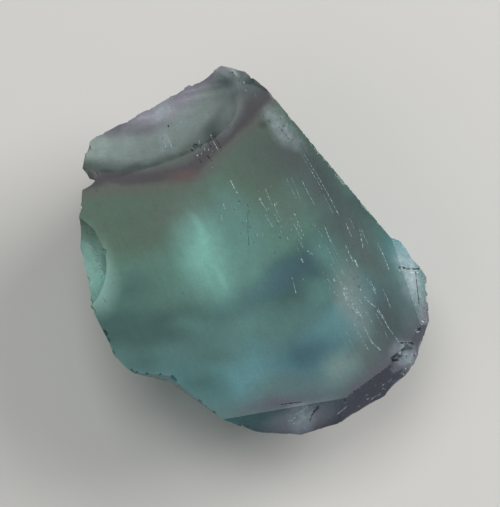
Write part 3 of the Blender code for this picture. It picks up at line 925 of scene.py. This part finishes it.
def bare_stone():
    """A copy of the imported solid, its loose triangles joined to whole faces."""
    node = frame["nodes"]["fluorite_crystal"]
    stone = bpy.data.objects.new(STONE, node.data.copy())
    bpy.context.scene.collection.objects.link(stone)
    make_active(stone)
    bpy.ops.object.mode_set(mode="EDIT")
    bpy.ops.mesh.select_all(action="SELECT")
    bpy.ops.mesh.remove_doubles(threshold=SAME_PLACE)
    bpy.ops.mesh.dissolve_limited(angle_limit=SAME_PLANE)
    bpy.ops.mesh.customdata_custom_splitnormals_clear()
    bpy.ops.object.mode_set(mode="OBJECT")
    stone.data.materials.clear()
    return stone


WIDE = 0.9 * MM * MM  # area past which a face counts as a flat face of the stone
SOFT = math.radians(35.0)  # edges flatter than this are smooth where a hollow runs out


def shade(stone):
    """Smooth in the hollows and where they run out, crisp at breaks and between flat faces."""
    make_active(stone)
    bpy.ops.object.shade_smooth_by_angle(angle=SOFT)
    mesh = stone.data
    beside = {}
    for face in mesh.polygons:
        for key in face.edge_keys:
            beside.setdefault(key, []).append(face.area > WIDE)
    for edge in mesh.edges:
        if all(beside[edge.key]):
            edge.use_edge_sharp = True
    weigh = stone.modifiers.new("weigh", "WEIGHTED_NORMAL")
    weigh.mode = "FACE_AREA"
    weigh.keep_sharp = True
    bpy.ops.object.modifier_apply(modifier=weigh.name)


def split_breaks(stone, rng, sizes, chunk):
    """The steps of the sides and the notches of the rim, cut in one go."""
    breaks = cutters_named("break_cutters")
    cleavage_steps(stone, rng, sizes, chunk, breaks)
    rim_notches(stone, rng, sizes, chunk, breaks)
    cut_away(stone, breaks, "breaks")


def cut_marks(stone, rng, sizes, needle, splinter):
    """The scratches, cracks, hair scratches, ticks, feathers and nicks, cut in one go."""
    marks = cutters_named("mark_cutters")
    scratch = (sizes.scratch_width, sizes.scratch_depth, needle)
    crack = (sizes.crack_width, sizes.crack_depth, splinter)
    hairs = hair_chains(rng, sizes.hairs)
    for chains, cut in ((SCRATCHES, scratch), (CRACKS, crack), (hairs, scratch)):
        chain_flecks(stone, rng, chains, sizes.fleck_length, *cut, marks)
    tick_flecks(stone, rng, sizes, needle, splinter, marks)
    feather_flecks(stone, rng, sizes, needle, marks)
    rim_nicks(stone, rng, sizes, needle, marks)
    cut_away(stone, marks, "marks")


class FLUORITE_OT_add_stone(bpy.types.Operator):
    """Adds the dressed stone in place of the plain solid"""

    bl_idname = "fluorite.add_stone"
    bl_label = "Add Stone"

    def execute(self, context):
        sizes = context.scene.fluorite_sizes
        colours = context.scene.fluorite_colours
        rng = random.Random(sizes.seed)
        fluorite = fluorite_material(colours)
        stone = bare_stone()
        stone.data.materials.append(fluorite)
        needle = octahedron("needle", bruised_material(colours))
        splinter = octahedron("splinter", crack_material(colours))
        chunk = octahedron("chunk", fluorite)
        split_breaks(stone, rng, sizes, chunk)
        cut_marks(stone, rng, sizes, needle, splinter)
        for prototype in (needle, splinter, chunk):
            bpy.data.objects.remove(prototype)
        stone = keep_largest(stone)
        shade(stone)
        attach(stone, "root")
        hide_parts("fluorite_crystal")
        return {"FINISHED"}


def board_material(stage):
    """Board painted matt: an even pale ground with no gloss, on which the shadow lies soft."""
    material = bpy.data.materials.new("matt_painted_board")
    material.use_nodes = True
    shader = material.node_tree.nodes["Principled BSDF"]
    shader.inputs["Base Color"].default_value = (*stage.floor, 1.0)
    shader.inputs["Roughness"].default_value = 0.7
    return material


FLOOR_SIDES = 96
FLOOR_THICKNESS = 4.0  # mm
FLOOR_GAP = 0.05  # mm between the floor and the stone


def add_floor(stage):
    """A wide round board just under the stone."""
    deselect_all()
    bpy.ops.mesh.primitive_cylinder_add(
        vertices=FLOOR_SIDES,
        radius=stage.floor_radius,
        depth=FLOOR_THICKNESS * MM,
        location=(0, 0, -(FLOOR_THICKNESS / 2 + FLOOR_GAP) * MM),
    )
    floor = bpy.context.active_object
    floor.name = "floor"
    floor.data.materials.append(board_material(stage))


# Soft lights: azimuth and elevation in degrees, distance and size in metres, and watts
LIGHTS = {
    "window": (29.0, 26.0, 0.7, 0.55, 6.0),
    "overhead": (115.0, 74.0, 0.9, 0.5, 3.0),
    "room": (215.0, 35.0, 0.9, 0.8, 1.5),
}


def add_light(name, azimuth, elevation, distance, size, watts):
    """A square soft light that faces the stone."""
    turn = math.radians(azimuth)
    lift = math.radians(elevation)
    away = Vector((math.cos(turn) * math.cos(lift), math.sin(turn) * math.cos(lift), math.sin(lift)))
    lamp = bpy.data.lights.new(name, "AREA")
    lamp.size = size
    lamp.energy = watts
    light = bpy.data.objects.new(name, lamp)
    light.location = away * distance
    light.rotation_euler = away.to_track_quat("Z", "Y").to_euler()
    bpy.context.scene.collection.objects.link(light)


def add_sky(stage):
    """Even light from all around, as in a pale room."""
    world = bpy.data.worlds.new("soft_room")
    world.use_nodes = True
    background = world.node_tree.nodes["Background"]
    background.inputs["Color"].default_value = (*stage.sky, 1.0)
    background.inputs["Strength"].default_value = stage.sky_strength
    bpy.context.scene.world = world


LOOK_AT_HEIGHT = 6.5  # mm, half of the stone's
LENS = 130.0  # mm
SENSOR = 36.0  # mm


def add_camera(stage):
    """Looks down on the broad face from the front."""
    target = in_frame(0.0, 0.0, LOOK_AT_HEIGHT)
    lift = stage.camera_elevation
    eye = target + Vector((0.0, -math.cos(lift), math.sin(lift))) * stage.camera_distance
    lens = bpy.data.cameras.new("camera")
    lens.lens = LENS
    lens.sensor_width = SENSOR
    lens.clip_start = 0.01
    lens.clip_end = 20.0
    camera = bpy.data.objects.new("camera", lens)
    camera.location = eye
    camera.rotation_euler = (math.pi / 2 - lift, 0.0, 0.0)
    bpy.context.scene.collection.objects.link(camera)
    bpy.context.scene.camera = camera


class FLUORITE_OT_add_stage(bpy.types.Operator):
    """Adds the floor, the lights, the sky and the camera"""

    bl_idname = "fluorite.add_stage"
    bl_label = "Add Stage"

    def execute(self, context):
        stage = context.scene.fluorite_stage
        add_floor(stage)
        for name, values in LIGHTS.items():
            add_light(name, *values)
        add_sky(stage)
        add_camera(stage)
        context.scene.view_settings.view_transform = "Standard"
        return {"FINISHED"}


GROUPS = {
    "fluorite_sizes": FLUORITE_PG_sizes,
    "fluorite_colours": FLUORITE_PG_colours,
    "fluorite_stage": FLUORITE_PG_stage,
}


class FLUORITE_PT_panel(bpy.types.Panel):
    """Lists the stone, the stage and their values"""

    bl_label = "Fluorite"
    bl_idname = "FLUORITE_PT_panel"
    bl_space_type = "VIEW_3D"
    bl_region_type = "UI"
    bl_category = "Fluorite"

    def draw(self, context):
        layout = self.layout
        layout.operator("fluorite.add_stage")
        layout.operator("fluorite.add_stone")
        for name, group in GROUPS.items():
            values = getattr(context.scene, name)
            box = layout.box()
            for value in group.__annotations__:
                box.prop(values, value)


CLASSES = (*GROUPS.values(), FLUORITE_OT_add_stone, FLUORITE_OT_add_stage, FLUORITE_PT_panel)


def register():
    for cls in CLASSES:
        bpy.utils.register_class(cls)
    for name, group in GROUPS.items():
        setattr(bpy.types.Scene, name, PointerProperty(type=group))


def unregister():
    for name in GROUPS:
        delattr(bpy.types.Scene, name)
    for cls in reversed(CLASSES):
        bpy.utils.unregister_class(cls)


def main():
    register()
    bpy.ops.fluorite.add_stage()
    bpy.ops.fluorite.add_stone()


if __name__ == "__main__":
    main()
